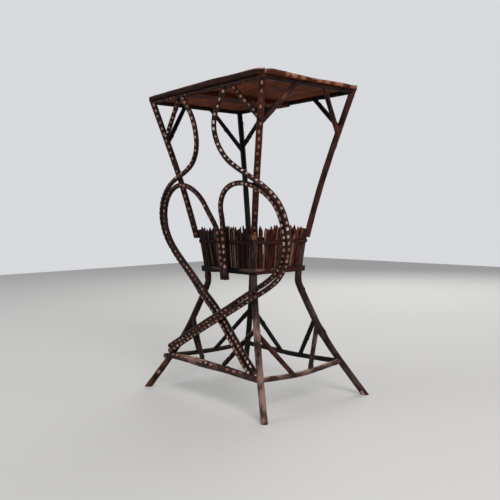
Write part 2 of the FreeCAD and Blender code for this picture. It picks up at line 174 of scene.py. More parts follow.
def post_line(corner):
    foot = Vector((post_foot_x, post_foot_y, post_foot_height))
    top = Vector((post_top_x, post_top_y, board_underside))
    points = []
    for height_share, spread_share in post_line_shares:
        point = between(foot, top, spread_share)
        points.append(at_corner(Vector((point.x, point.y, between(foot.z, top.z, height_share))), corner))
    return points


def frame_depth(height):
    """How far the front posts and legs stand in front of the middle at a height."""
    below_rim = [point for point in leg_line("front_right") if point.z <= rim_height]
    return -on_line(below_rim + post_line("front_right"), height).y


slope_step = 0.04


def left_of_leg(corner, height):
    """Where a stretcher lies against the outside of a left leg."""
    joint = on_line(leg_line(corner), height)
    slope = (on_line(leg_line(corner), height + slope_step).x - joint.x) / slope_step
    return joint - Vector(((leg_radius + stretcher_diameter / 2 + seat_gap) * math.hypot(1, slope), 0, 0))


def stretcher_line(side):
    """Between two legs, or across the outside of both on the left, with its ends past them."""
    ends = []
    for corner, share in zip(side_corners[side], stretcher_heights[side]):
        height = table_height * share
        ends.append(left_of_leg(corner, height) if side == "left" else on_line(leg_line(corner), height))
    if side == "left":
        ends[0] -= Vector((0, left_stretcher_pokes[0], 0))
        ends[1] += Vector((0, left_stretcher_pokes[1], 0))
    start, end = ends
    drop = Vector((0, 0, -stretcher_sag * stretcher_sag_shares[side]))
    bends = [between(start, end, sag_bend_share) + drop, between(end, start, sag_bend_share) + drop]
    return [start, *bends, end]


# Routes of the four bent twigs: across as a share of the heart's reach, up as a share of the table's height,
# and how far each stands off the frame's centre plane where it doesn't lie on the frame.
leg_lean_cosine = 0.88
crossing_lean_cosine = 0.93
crossing_share = 0.8
leaving_share = 0.4
on_rail = 0.0
on_frame = max(leg_radius, post_radius) + stem_radius + seat_gap
on_leg = on_frame / leg_lean_cosine
half_way = on_frame / 2
under = on_frame * crossing_share
over = under + (stem_diameter + seat_gap) / crossing_lean_cosine
over_leaving = between(over, on_leg, leaving_share)

left_stem_lobe = (
    (-0.352, 0.977, on_rail), (-0.262, 0.947, half_way), (-0.178, 0.912, under), (-0.140, 0.866),
    (-0.160, 0.812), (-0.255, 0.767), (-0.410, 0.738),
    (-0.610, 0.719), (-0.800, 0.690), (-0.940, 0.645),
    (-1.007, 0.584), (-0.966, 0.522), (-0.856, 0.465),
    (-0.706, 0.412), (-0.540, 0.366), (-0.375, 0.3275),
)
left_run = (
    (-0.150, 0.284, under), (0.085, 0.233, under), (0.290, 0.188),
    (0.500, 0.147, on_leg), (0.675, 0.113, on_leg),
)
right_stem_lobe = (
    (0.352, 0.977, on_rail), (0.265, 0.940, half_way), (0.185, 0.903, under), (0.145, 0.860),
    (0.165, 0.812), (0.260, 0.765), (0.415, 0.732),
    (0.610, 0.700), (0.800, 0.666), (0.940, 0.621),
    (1.000, 0.560), (0.990, 0.497), (0.910, 0.443),
    (0.770, 0.395), (0.590, 0.359), (0.390, 0.3285),
)
right_run = (
    (0.150, 0.280, over), (-0.130, 0.233, over), (-0.390, 0.186, over_leaving), (-0.690, 0.131, on_leg),
)
left_arch_lobe = (
    (-0.082, 0.562, half_way), (-0.140, 0.605), (-0.215, 0.646),
    (-0.330, 0.677), (-0.480, 0.696), (-0.634, 0.694),
    (-0.785, 0.669), (-0.902, 0.623), (-0.941, 0.561),
    (-0.879, 0.503), (-0.763, 0.4545), (-0.622, 0.409),
    (-0.472, 0.369), (-0.318, 0.3365),
)
right_arch_lobe = (
    (0.045, 0.572, half_way), (0.065, 0.620), (0.130, 0.660),
    (0.250, 0.684), (0.410, 0.691), (0.578, 0.682),
    (0.744, 0.659), (0.889, 0.616), (0.953, 0.5525),
    (0.930, 0.488), (0.829, 0.436), (0.685, 0.400),
    (0.510, 0.3695), (0.335, 0.3415),
)


def run_above(run):
    """The arch's run, which lies against the upper side of its stem's run."""
    across = (run[-1][0] - run[0][0]) * heart_reach
    down = (run[0][1] - run[-1][1]) * table_height
    length = math.hypot(across, down)
    spacing = stem_diameter + pair_gap
    shift = math.copysign(spacing, across) * down / length / heart_reach
    rise = spacing * abs(across) / length / table_height
    return [(across + shift, up + rise, *stand_off) for across, up, *stand_off in run]


def route(rows):
    points = []
    for across, up, *stand_off in rows:
        height = table_height * up
        depth = -frame_depth(height) - (stand_off[0] if stand_off else on_frame)
        points.append(Vector((heart_reach * across, depth, height)))
    return points


def arch_foot(side_sign):
    across = side_sign * (stem_radius + pair_gap / 2)
    off_wall = rail_thickness + stem_radius + seat_gap
    rises = [picket_length * share for share in arch_foot_shares]
    return [Vector((across, -wall_y - wall_lean_y * rise - off_wall, rim_height + rise)) for rise in rises]


def waver(place, rate, drift, row=0, layer=0):
    """A smooth unevenness along a stick, this many times a metre."""
    return noise.noise(Vector((place * rate, row, layer)) + drift)


# Shader helpers
def colour(seen):
    """Red, green and blue as they are seen on a screen, from 0 to 255, turned into light."""
    parts = []
    for value in seen:
        share = value / 255
        parts.append(share / 12.92 if share <= 0.04045 else ((share + 0.055) / 1.055) ** 2.4)
    return (*parts, 1.0)


class Finish:
    """A material and short calls that add nodes to it."""

    def __init__(self, name, shift=0.0):
        self.shift = shift
        self.material = bpy.data.materials.new(name)
        self.material.use_nodes = True
        self.nodes = self.material.node_tree.nodes
        self.links = self.material.node_tree.links
        self.surface = self.nodes["Principled BSDF"]

    def feed(self, socket, value):
        if isinstance(value, bpy.types.NodeSocket):
            self.links.new(value, socket)
        else:
            socket.default_value = value

    def add(self, kind, inputs=None, **settings):
        made = self.nodes.new(kind)
        for key, value in settings.items():
            setattr(made, key, value)
        for key, value in (inputs or {}).items():
            self.feed(made.inputs[key], value)
        return made

    def set(self, name, value):
        self.feed(self.surface.inputs[name], value)

    def stretched(self, source, along, across):
        """Coordinates that run along a twig or board in x, scaled more across it than along it."""
        return self.add("ShaderNodeMapping", {"Vector": source, "Scale": (along, across, across),
                                              "Location": (self.shift,) * 3}).outputs["Vector"]

    def noise(self, place, scale=1.0, detail=3.0, roughness=0.55, distortion=0.0):
        inputs = {"Vector": place, "Scale": scale, "Detail": detail, "Roughness": roughness}
        return self.add("ShaderNodeTexNoise", {**inputs, "Distortion": distortion}).outputs["Fac"]

    def streaks(self, place, along, across, **settings):
        return self.noise(self.stretched(place, along, across), **settings)

    def spots(self, place):
        return self.add("ShaderNodeTexVoronoi", {"Vector": place, "Scale": 1.0}).outputs["Distance"]

    def ramp(self, value, low, high, start=0.0, end=1.0):
        stops = {"Value": value, "From Min": low, "From Max": high, "To Min": start, "To Max": end}
        return self.add("ShaderNodeMapRange", stops, interpolation_type="SMOOTHSTEP").outputs["Result"]

    def sum(self, first, second, operation="ADD"):
        return self.add("ShaderNodeMath", {0: first, 1: second}, operation=operation).outputs["Value"]

    def times(self, first, second):
        return self.sum(first, second, "MULTIPLY")

    def mix(self, share, first, second):
        made = self.add("ShaderNodeMix", data_type="RGBA")
        self.feed(made.inputs[0], share)
        self.feed(made.inputs[6], first)
        self.feed(made.inputs[7], second)
        return made.outputs[2]

    def over(self, tone, tint, value, low, high, most=1.0):
        """A tint laid over a tone, from none of it where the value is low to most of it where it is high."""
        return self.mix(self.ramp(value, low, high, 0.0, most), tone, tint)

    def bump(self, height, strength, distance):
        return self.add("ShaderNodeBump", {"Height": height, "Strength": strength,
                                           "Distance": distance}).outputs["Normal"]

    def wear(self):
        """What is painted on the piece: bared or cut, rubbed, and how pale the cuts are; the rubbing also
        carries painted light on stretcher tops and leg feet.
        """
        painted = self.add("ShaderNodeAttribute", attribute_name="wear").outputs["Color"]
        return self.add("ShaderNodeSeparateColor", {"Color": painted}).outputs

    def wrapped(self):
        """The twig's UV as a place on its round surface, so that no seam shows: U along, V in turns."""
        mapped = self.add("ShaderNodeUVMap", uv_map="UVMap").outputs["UV"]
        split = self.add("ShaderNodeSeparateXYZ", {"Vector": mapped}).outputs
        turn = self.times(split["Y"], math.tau)
        return self.add("ShaderNodeCombineXYZ", {
            "X": split["X"],
            "Y": self.times(self.sum(turn, 0.0, "COSINE"), stem_radius),
            "Z": self.times(self.sum(turn, 0.0, "SINE"), stem_radius),
        }).outputs["Vector"]


bark_shine, split_shine, board_shine = 0.08, 0.05, 0.013
cut_brown, cut_pale = colour((70, 38, 28)), colour((224, 198, 186))
cut_tan = (156, 115, 97)


def bark_finish(name, dark, light, worn, gloss=0.46, shift=0.0, bared_wood=cut_tan):
    """Varnished bark with streaks, breathing pores and rubbed patches; pale wood where the knife bared it."""
    f = Finish(name, shift)
    dark, light, worn, bared_wood = map(colour, (dark, light, worn, bared_wood))
    place = f.wrapped()
    wear = f.wear()
    bared, rubbed, paleness = wear["Red"], wear["Green"], wear["Blue"]

    cloud = f.streaks(place, 26, 70, detail=4)
    fibre = f.streaks(place, 70, 700, detail=3)
    skin = f.streaks(place, 420, 300, detail=4, roughness=0.65)
    pore = f.ramp(f.spots(f.stretched(place, 300, 130)), 0.20, 0.06)
    rings = f.streaks(place, 150, 14, detail=2)

    tone = f.over(dark, light, cloud, 0.36, 0.68)
    tone = f.over(tone, worn, fibre, 0.56, 0.78, 0.35)
    tone = f.over(tone, dark, rings, 0.56, 0.74, 0.55)
    tone = f.mix(f.times(pore, 0.30), tone, worn)
    # The rubbed share holds wear and also painted light: a highlight on stretcher tops and paler, lit leg
    # feet.
    patch = f.sum(f.sum(f.times(cloud, 0.7), rubbed), f.times(f.sum(skin, fibre), 0.22))
    tone = f.over(tone, worn, patch, 0.74, 1.00)

    grain = f.streaks(place, 60, 1500, detail=3)
    pale = f.over(cut_brown, bared_wood, paleness, 0.0, 0.5)
    pale = f.over(pale, cut_pale, paleness, 0.45, 1.0)
    pale = f.over(pale, cut_brown, grain, 0.42, 0.72, 0.45)
    pale = f.over(pale, cut_brown, skin, 0.47, 0.62, 0.6)
    edge = f.sum(bared, f.times(f.sum(skin, -0.5), 0.55))
    bare = f.ramp(edge, 0.48, 0.58)
    stained = f.over(cut_brown, pale, edge, 0.60, 0.80)
    f.set("Base Color", f.mix(bare, tone, stained))

    f.set("Roughness", f.sum(f.ramp(skin, 0.3, 0.75, gloss - 0.08, gloss + 0.18), f.times(bare, 0.16)))
    f.set("Specular IOR Level", bark_shine)
    relief = f.sum(f.times(skin, 0.5), f.times(fibre, 0.35))
    relief = f.sum(relief, f.times(pore, 0.5))
    f.set("Normal", f.bump(f.mix(bare, relief, f.times(grain, 0.4)), 0.6, 0.0007))
    return f.material


def sawn_finish(name, pale, ring, bark):
    """End grain: yearly rings round the pith, darkened by handling, and dark bark at the rim."""
    f = Finish(name)
    pale, ring, bark = map(colour, (pale, ring, bark))
    place = f.add("ShaderNodeUVMap", uv_map="UVMap").outputs["UV"]
    out = f.add("ShaderNodeVectorMath", {0: place}, operation="LENGTH").outputs["Value"]
    wobble = f.streaks(place, 300, 300, detail=3)
    count = f.sum(f.times(out, 5200), f.times(wobble, 4))
    yearly = f.ramp(f.sum(count, 0.0, "SINE"), -0.6, 0.9)
    tone = f.mix(yearly, ring, pale)
    f.set("Base Color", f.over(tone, bark, wobble, 0.45, 0.75, 0.6))
    f.set("Roughness", 0.72)
    f.set("Normal", f.bump(yearly, 0.3, 0.0003))
    return f.material


def board_finish(name, dark, light, worn, stained, lengths=(1, 14, 14), cut=(260, 2, 2), shift=0.0):
    """Stained softwood: grain along the board, saw marks across it, stains, scuffs and dirt."""
    f = Finish(name, shift)
    dark, light, worn, stained = map(colour, (dark, light, worn, stained))
    spot = f.add("ShaderNodeTexCoord").outputs["Object"]
    place = f.stretched(spot, 1, 1)
    stretch = f.add("ShaderNodeMapping", {"Vector": place, "Scale": lengths}).outputs["Vector"]
    bands = f.sum(f.times(f.noise(stretch, 5.0, detail=2, distortion=0.6), 34), 0.0, "SINE")
    growth = f.ramp(bands, -0.7, 0.95)
    fibre = f.noise(stretch, 60, detail=5, roughness=0.7)
    plank = f.noise(stretch, 2.2, detail=3)
    stain = f.noise(place, 11, detail=4, roughness=0.6)
    scuff = f.noise(place, 42, detail=5, roughness=0.7)
    saw = f.noise(f.add("ShaderNodeMapping", {"Vector": place, "Scale": cut}).outputs["Vector"], 1, detail=2)
    tone = f.mix(f.sum(f.times(growth, 0.5), f.ramp(plank, 0.35, 0.65, 0.0, 0.5)), dark, light)
    tone = f.over(tone, dark, fibre, 0.45, 0.75, 0.5)
    tone = f.over(tone, stained, stain, 0.48, 0.66, 0.75)
    tone = f.over(tone, worn, scuff, 0.60, 0.74, 0.6)
    f.set("Base Color", tone)
    f.set("Roughness", f.ramp(scuff, 0.3, 0.7, 0.50, 0.72))
    f.set("Specular IOR Level", board_shine)
    relief = f.sum(f.times(growth, 0.25), f.times(fibre, 0.6))
    f.set("Normal", f.bump(f.sum(relief, f.times(saw, 0.5)), 0.5, 0.0007))
    return f.material


def split_finish(name, dark, light, worn, rosy, sooty, shift=0.0):
    """A split stick, its UV along it: rubbed or bare wood where it is painted red on the mesh, with painted
    light on slip tops and picket flanks, rosier where it is painted blue, and sooty where it is painted
    green."""
    f = Finish(name, shift)
    dark, light, worn, rosy, sooty = map(colour, (dark, light, worn, rosy, sooty))
    place = f.add("ShaderNodeUVMap", uv_map="UVMap").outputs["UV"]
    wear = f.wear()
    cloud = f.streaks(place, 18, 290, detail=4)
    fibre = f.streaks(place, 55, 1100, detail=4)
    skin = f.streaks(place, 380, 380, detail=4, roughness=0.65)
    tone = f.over(dark, light, cloud, 0.35, 0.66)
    tone = f.over(tone, dark, fibre, 0.48, 0.74, 0.6)
    bare = f.over(worn, rosy, wear["Blue"], 0.1, 0.8)
    bare = f.over(bare, light, fibre, 0.46, 0.72, 0.5)
    # The red share is wear and bare wood, with painted light on the slips' upper edges and the pickets'
    # flanks.
    rubbed = f.sum(wear["Red"], f.times(f.sum(f.sum(cloud, skin), -1.0), 0.6))
    tone = f.over(tone, bare, rubbed, 0.30, 0.62)
    f.set("Base Color", f.over(tone, sooty, wear["Green"], 0.2, 0.7))
    f.set("Roughness", f.ramp(skin, 0.3, 0.75, 0.44, 0.68))
    f.set("Specular IOR Level", split_shine)
    f.set("Normal", f.bump(f.sum(skin, fibre), 0.6, 0.0007))
    return f.material


# Finishes. Colours are those that the eye sees on the table in plain light, but for the near-black bark of
# the back and left twigs, which is painted shade.
bark_dark = bark_finish("dark notched bark", (18, 9, 8), (44, 25, 22), (86, 54, 46))
bark_heart = bark_finish("bent twig bark", (18, 9, 8), (48, 29, 26), (98, 68, 60), 0.42, 3.0)
bark_ruddy = bark_finish("ruddy notched bark", (30, 11, 7), (66, 30, 22), (108, 60, 44), 0.46, 5.0,
                         bared_wood=(154, 98, 70))
bark_red = bark_finish("red brown bark", (28, 12, 10), (68, 36, 30), (112, 70, 54), 0.48, 7.0)
bark_grey = bark_finish("grey brown bark", (24, 15, 15), (78, 58, 54), (140, 110, 100), 0.52, 11.0)
bark_foot = bark_finish("red grey bark", (22, 12, 10), (50, 30, 25), (104, 58, 42), 0.50, 13.0)
bark_moss = bark_finish("grey green bark", (34, 18, 14), (66, 52, 47), (116, 98, 88), 0.50, 15.0)
# The right stretcher's pale top is this bark's worn colour, laid on as a painted highlight.
bark_pale = bark_finish("pale bark, rubbed, with painted top highlight", (48, 28, 21), (102, 80, 68), (154, 134, 118), 0.54, 17.0)
bark_plum = bark_finish("plum brown bark", (34, 18, 17), (74, 50, 47), (148, 124, 114), 0.50, 19.0)
# Painted shade: the bark of the back and left twigs, darkened as it looks in shade, not a darker bark of
# their own.
bark_painted_shade = bark_finish("bark with painted shade", (10, 7, 6), (27, 20, 18), (64, 46, 40), 0.48, 23.0)
sawn_dark = sawn_finish("sawn twig end", (84, 52, 38), (54, 30, 22), (28, 17, 13))
sawn_orange = sawn_finish("fresh sawn twig end", (186, 110, 66), (140, 72, 40), (74, 38, 24))
board_front = board_finish("stained front board", (72, 32, 15), (136, 70, 38), (160, 98, 62), (38, 16, 8))
board_middle = board_finish("stained middle board", (62, 28, 14), (122, 64, 36), (150, 92, 60),
                            (30, 12, 6), shift=3.7)
board_back = board_finish("stained back board", (64, 30, 15), (122, 66, 38), (150, 94, 62),
                          (34, 15, 8), shift=8.1)
board_dark = board_finish("dark batten", (42, 17, 9), (92, 44, 25), (112, 60, 38),
                          (22, 9, 6), lengths=(14, 1, 14), cut=(2, 260, 2))
board_basket = board_finish("basket board", (38, 20, 13), (72, 40, 27), (96, 60, 44), (24, 14, 10))
slip_pale = split_finish("rubbed pale slip", (50, 24, 17), (92, 52, 38), (160, 104, 76),
                         (150, 112, 100), (30, 18, 14))
slip_dark = split_finish("dark slip", (24, 9, 6), (54, 26, 18), (104, 70, 58),
                         (146, 110, 98), (14, 9, 7), 5.0)
picket_black = split_finish("black picket", (15, 7, 5), (42, 22, 18), (134, 104, 92),
                            (78, 48, 40), (10, 6, 6), 9.0)
picket_brown = split_finish("brown picket", (34, 15, 11), (76, 41, 33), (164, 120, 104),
                            (118, 66, 48), (14, 7, 6), 13.0)
rail_dark = split_finish("dark basket rail", (12, 8, 7), (32, 23, 21), (66, 52, 46),
                         (84, 58, 48), (10, 10, 13), 19.0)
rail_brown = split_finish("brown basket rail", (34, 16, 12), (72, 42, 35), (120, 86, 74),
                          (104, 66, 54), (14, 9, 8), 29.0)


# Making twigs
class Cut:
    """A knife cut: its place along the twig, half length, depth, turn round it, and how pale its wood is."""
    reach = 1.15

    def __init__(self, place, half_length, depth, turn, paleness):
        self.place, self.half_length, self.depth = place, half_length, depth
        self.turn, self.paleness = turn, paleness

    def is_near(self, place):
        return abs(place - self.place) < self.half_length * self.reach

    def over_floor(self, place, offset, radius, normal):
        """How far a point of the bark stands above the cut's floor."""
        off = (place - self.place) / self.half_length
        return offset.dot(normal) - radius + self.depth * (1 - off ** 4)


def along_stops(stops, share):
    """A value that goes evenly through its stops, which are spread from a twig's start to its end."""
    place = share * (len(stops) - 1)
    index = min(int(place), len(stops) - 2)
    return between(stops[index], stops[index + 1], place - index)


class Nicks:
    """A row of knife cuts; pitch, turn and paleness are each given as stops along the twig."""
    # Shares of a pitch left free at the row's two ends, and how far each cut may stray from its row
    first, last = 0.6, 0.4
    shifts, lengths, depths = (-0.10, 0.10), (0.75, 1.2), (0.6, 1.3)
    turns, tints = (-0.22, 0.22), (-0.30, 0.30)

    def __init__(self, pitch, turn, paleness, half_length=0.0046, depth=0.00095, span=(0.0, 1.0)):
        self.pitch, self.turn, self.paleness = pitch, turn, paleness
        self.half_length, self.depth, self.span = half_length, depth, span

    def cuts(self, length, seeded):
        found = []
        place = length * self.span[0] + self.pitch[0] * self.first
        while place < length * self.span[1] - self.pitch[1] * self.last:
            share = place / length
            pitch = along_stops(self.pitch, share)
            found.append(Cut(place + seeded.uniform(*self.shifts) * pitch,
                             self.half_length * seeded.uniform(*self.lengths),
                             self.depth * seeded.uniform(*self.depths),
                             along_stops(self.turn, share) + seeded.uniform(*self.turns),
                             along_stops(self.paleness, share) + seeded.uniform(*self.tints)))
            place += pitch
        return found


points_per_run = 64
points_per_bend = 24


def smooth_line(points, step):
    """Even steps along a curve that touches the middle of each run, as the solids' bends do."""
    middles = [points[0]] + [between(a, b, 0.5) for a, b in zip(points[1:], points[2:-1])] + [points[-1]]
    fine = []
    if len(points) == 2:
        fine = [between(*points, k / points_per_run) for k in range(points_per_run)]
    for start, bend, end in zip(middles, points[1:-1], middles[1:]):
        for k in range(points_per_bend):
            t = k / points_per_bend
            fine.append(start * (1 - t) ** 2 + bend * 2 * t * (1 - t) + end * t ** 2)
    fine.append(points[-1])
    distances = [0.0]
    for a, b in zip(fine, fine[1:]):
        distances.append(distances[-1] + (b - a).length)
    count = max(2, round(distances[-1] / step))
    line, index = [], 0
    for k in range(count + 1):
        wanted = distances[-1] * k / count
        while index < len(fine) - 2 and distances[index + 1] < wanted:
            index += 1
        share = (wanted - distances[index]) / (distances[index + 1] - distances[index])
        line.append(between(fine[index], fine[index + 1], share))
    return line, distances[-1]


def mesh_of(name, shape):
    mesh = bpy.data.meshes.new(name)
    shape.to_mesh(mesh)
    shape.free()
    return mesh


def in_scene(name, data):
    """A new object for a mesh, a lamp or a camera."""
    made = bpy.data.objects.new(name, data)
    bpy.context.scene.collection.objects.link(made)
    return made


def finish_piece(name, shape, materials, nodes):
    """Turns a bmesh into a piece that rides on the table and stands for its solids."""
    bmesh.ops.recalc_face_normals(shape, faces=shape.faces)
    mesh = mesh_of(name, shape)
    for material in materials:
        mesh.materials.append(material)
    piece = in_scene(name, mesh)
    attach(piece, "root")
    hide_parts(*nodes)


def new_shape():
    """An empty bmesh with the layers that every finish reads."""
    shape = bmesh.new()
    shape.verts.layers.float_color.new("wear")
    shape.loops.layers.uv.new("UVMap")
    return shape


def cut_off(shape, point, outward):
    """Takes away what lies beyond a plane, and leaves the cut open."""
    everything = shape.verts[:] + shape.edges[:] + shape.faces[:]
    bmesh.ops.bisect_plane(shape, geom=everything, plane_co=point, plane_no=outward, clear_outer=True)


def held(value):
    """A painted value, held between nothing and all of it."""
    return min(1.0, max(0.0, value))


# The rounded bark edge of a sawn end, and how near two points count as one
rim_width = 0.0006
rim_drop = 0.00025
same_place = 0.00001


def close_end(shape, rim_edges, centre, side, face):
    """Fills a sawn end, with its bark edge a little rounded and its UV measured from the pith."""
    filled = bmesh.ops.holes_fill(shape, edges=rim_edges, sides=0)["faces"]
    inner = bmesh.ops.inset_region(shape, faces=filled, thickness=rim_width, depth=rim_drop)["faces"]
    maps = shape.loops.layers.uv["UVMap"]
    for end_face in filled + inner:
        end_face.material_index = 1
        end_face.smooth = False
        for loop in end_face.loops:
            offset = loop.vert.co - centre
            loop[maps].uv = (offset.dot(side), offset.dot(face))


class Ring:
    """One ring of a twig: its centre, the two directions across it, its place along and the cuts near it."""
    wander_rate = 9

    def __init__(self, line, index, length, face, cuts, drift, sway):
        last = len(line) - 1
        along = (line[min(index + 1, last)] - line[max(index - 1, 0)]).normalized()
        self.front = (face - along * face.dot(along)).normalized()
        self.side = along.cross(self.front)
        self.share = index / last
        self.place = length * self.share
        wander = noise.noise_vector(Vector((self.place * self.wander_rate, 0, 0)) + drift) * sway
        self.centre = line[index] + wander * math.sin(math.pi * self.share)
        self.cuts = [(cut, self.front * math.cos(cut.turn) + self.side * math.sin(cut.turn))
                     for cut in cuts if cut.is_near(self.place)]


# Buds: the part of a twig that has them, their heights, half length in metres and half width in radians, and
# the share of their height that goes all round
bud_span = (0.04, 0.96)
bud_heights = (0.0006, 0.0014)
bud_half_length = 0.0042
bud_half_width = 0.55
collar_share = 0.22


def bark_radius(radius, ring, turn, drift, buds, swells):
    """The radius with the slow swelling, small lumps, buds and knots of a grown twig."""
    round_x, round_y = math.cos(turn), math.sin(turn)
    radius *= 1 + 0.040 * waver(ring.place, 22, drift)
    radius *= 1 + 0.03 * waver(ring.place, 40, drift, round_x * 0.8, round_y * 0.8)
    radius += 0.0002 * waver(ring.place, 260, drift, round_x * 3, round_y * 3)
    for bud_place, bud_turn, bud_height in buds:
        off = (ring.place - bud_place) / bud_half_length
        if abs(off) < 3:
            around = math.remainder(turn - bud_turn, math.tau) / bud_half_width
            bump = math.exp(-off * off - around * around)
            radius += bud_height * (bump + collar_share * math.exp(-off * off))
    for swell_place, half_length, height in swells:
        radius += height * math.exp(-((ring.place - swell_place) / half_length) ** 2)
    return radius


no_rub = (0.0, 0.0)


def twig(name, points, diameter, face, bark, end_diameter=None, nicks=None, cuts=(), knots=3,
         swells=(), trims=(), sawn=None, rub=no_rub, top_highlight=0.0, step=0.0012, sides=20, sway=0.0):
    """A round twig with bark along smooth bends, wrapped from a grid: U along it, V in turns round it."""
    seeded = random.Random(name)
    drift = Vector((seeded.uniform(0, 90), seeded.uniform(0, 90), seeded.uniform(0, 90)))
    line, length = smooth_line(points, step)
    last = len(line) - 1
    every_cut = list(cuts) + (nicks.cuts(length, seeded) if nicks else [])
    buds = [(seeded.uniform(*bud_span) * length, seeded.uniform(-math.pi, math.pi),
             seeded.uniform(*bud_heights)) for _ in range(knots)]
    start = seeded.uniform(0, 4)
    rings = [Ring(line, index, length, face, every_cut, drift, sway) for index in range(last + 1)]

    shape = new_shape()
    bmesh.ops.create_grid(shape, x_segments=last, y_segments=sides, size=0.5)
    maps, wear = shape.loops.layers.uv["UVMap"], shape.verts.layers.float_color["wear"]
    for skin in shape.faces:
        skin.smooth = True
        for loop in skin.loops:
            loop[maps].uv = ((loop.vert.co.x + 0.5) * length + start, loop.vert.co.y)
    for vertex in shape.verts:
        ring = rings[round((vertex.co.x + 0.5) * last)]
        turn = vertex.co.y * math.tau
        plain = between(diameter, end_diameter or diameter, ring.share) / 2
        radius = bark_radius(plain, ring, turn, drift, buds, swells)
        outward = ring.front * math.cos(turn) + ring.side * math.sin(turn)
        offset = outward * radius
        bared, paleness = 0.0, 0.0
        for cut, normal in ring.cuts:
            above = cut.over_floor(ring.place, offset, radius, normal)
            if 0.5 + above / cut.depth / 2 > bared:
                bared, paleness = 0.5 + above / cut.depth / 2, cut.paleness
            if above > 0:
                offset -= normal * above
        # Painted light: the top highlight paints the upper side paler, as if lit from above, in the rub
        # channel beside the rub stops.
        rubbed = along_stops(rub, ring.share) + top_highlight * max(0.0, outward.z)
        vertex[wear] = (held(bared), held(rubbed), held(paleness), 1.0)
        vertex.co = ring.centre + offset

    bmesh.ops.remove_doubles(shape, verts=shape.verts, dist=same_place)
    for plane_point, plane_normal in trims:
        cut_off(shape, plane_point, plane_normal)
    open_edges = [edge for edge in shape.edges if edge.is_boundary]
    for ring, other in ((rings[0], rings[-1]), (rings[-1], rings[0])):
        own = [edge for edge in open_edges
               if (edge.verts[0].co - ring.centre).length < (edge.verts[0].co - other.centre).length]
        if own:
            middle = sum((edge.verts[0].co for edge in own), Vector()) / len(own)
            close_end(shape, own, middle, ring.side, ring.front)
    finish_piece("bark_" + name, shape, [bark, sawn or sawn_dark], [name])


floor_plane = (Vector((0, 0, 0)), Vector((0, 0, -1)))
board_plane = (Vector((0, 0, board_underside)), Vector((0, 0, 1)))
post_foot_plane = (Vector((0, 0, post_foot_height)), Vector((0, 0, -1)))
spare_length = 0.03
foot_swell = 1.03


def lengthened(points, at_start=0.0, at_end=0.0):
    """The same line with its first and last runs made longer."""
    longer = list(points)
    longer[0] = points[0] + (points[0] - points[1]).normalized() * at_start
    longer[-1] = points[-1] + (points[-1] - points[-2]).normalized() * at_end
    return longer


def outward_corner(corner):
    return Vector((*corners[corner], 0)).normalized()


def make_posts():
    nicks = {
        "front_left": Nicks((0.0165, 0.0165), (1.45, 1.45), (0.26, 0.32), 0.0048, 0.0009),
        "front_right": Nicks((0.0170, 0.0170), (0.1, 0.1), (0.42, 0.22), depth=0.0009),
    }
    # The back left post wears the bark darkened with painted shade.
    barks = {"front_left": bark_dark, "front_right": bark_ruddy, "back_right": bark_red,
             "back_left": bark_painted_shade}
    whittled = [Cut(spare_length + 0.006, 0.010, 0.0034, 0.1, 0.30)]
    for corner, bark in barks.items():
        twig("post_" + corner, lengthened(post_line(corner), spare_length, spare_length), post_diameter,
             outward_corner(corner), bark, nicks=nicks.get(corner),
             cuts=whittled if corner == "front_right" else (), knots=5, trims=(board_plane, post_foot_plane),
             sides=24, sawn=sawn_orange, sway=0.0006)


def make_legs():
    # The back left leg wears the bark darkened with painted shade.
    barks = {"front_left": bark_foot, "front_right": bark_grey, "back_right": bark_moss,
             "back_left": bark_painted_shade}
    cuts = {
        "front_left": [Cut(spare_length + 0.052, 0.006, 0.0013, 1.4, 0.50)],
        "front_right": [Cut(spare_length + 0.005, 0.006, 0.0016, 0.0, 0.45)],
        "back_right": [Cut(spare_length + 0.007, 0.007, 0.0012, -2.0, 0.65)],
    }
    swells = {"back_right": [(0.215, 0.010, 0.0016), (0.30, 0.12, 0.0007)]}
    # Wear and painted light: the rub stops make the legs paler towards their feet, worn there and painted as
    # lit where the lower legs lean out toward the light.
    rubs = {"front_left": (0.30, -0.35), "front_right": (0.33, 0.30, 0.24, -0.02, -0.25),
            "back_right": (0.10, -0.05)}
    for corner, bark in barks.items():
        twig("leg_" + corner, lengthened(leg_line(corner), spare_length), leg_diameter * foot_swell,
             outward_corner(corner), bark, end_diameter=leg_diameter, cuts=cuts.get(corner, ()),
             knots=6, swells=swells.get(corner, ()), trims=(floor_plane,), sides=24, sawn=sawn_orange,
             rub=rubs.get(corner, no_rub), sway=0.0006)


def make_stretchers():
    # The back stretcher wears the bark darkened with painted shade.
    barks = {"front": bark_plum, "right": bark_pale, "back": bark_painted_shade, "left": bark_foot}
    starts = {"front": 0.0140, "right": 0.0120}
    ends = {"front": 0.0148, "right": 0.0130}
    swells = {"front": [(0.125, 0.075, 0.0030), (0.255, 0.050, 0.0009)]}
    nicks = {"front": Nicks((0.0205, 0.0205), (-0.8, -0.8), (0.42, 0.30), 0.0064, 0.0010)}
    rubs = {"front": (0.02, 0.20, 0.06, -0.10, -0.22)}
    # Painted highlight: the stretchers' upper sides are painted paler, as if lit from above, most on the
    # right and front ones.
    top_highlights = {"front": 0.17, "right": 0.30}
    for side, bark in barks.items():
        twig("stretcher_" + side, stretcher_line(side), starts.get(side, stretcher_diameter), outwards[side],
             bark, end_diameter=ends.get(side), nicks=nicks.get(side), knots=4,
             swells=swells.get(side, ()), rub=rubs.get(side, no_rub), top_highlight=top_highlights.get(side, 0.05),
             sway=0.0012)


def make_top_rails():
    nicks = {"front": Nicks((0.0152, 0.0152), (0.5, 0.5), (0.25, 0.0, 0.0, 0.15), 0.0036, 0.0007)}
    for side, ends in side_corners.items():
        line = [at_corner(Vector((post_top_x, post_top_y, top_rail_height)), corner) for corner in ends]
        twig("top_rail_" + side, line, top_rail_diameter, outwards[side], bark_dark,
             nicks=nicks.get(side), sides=16)


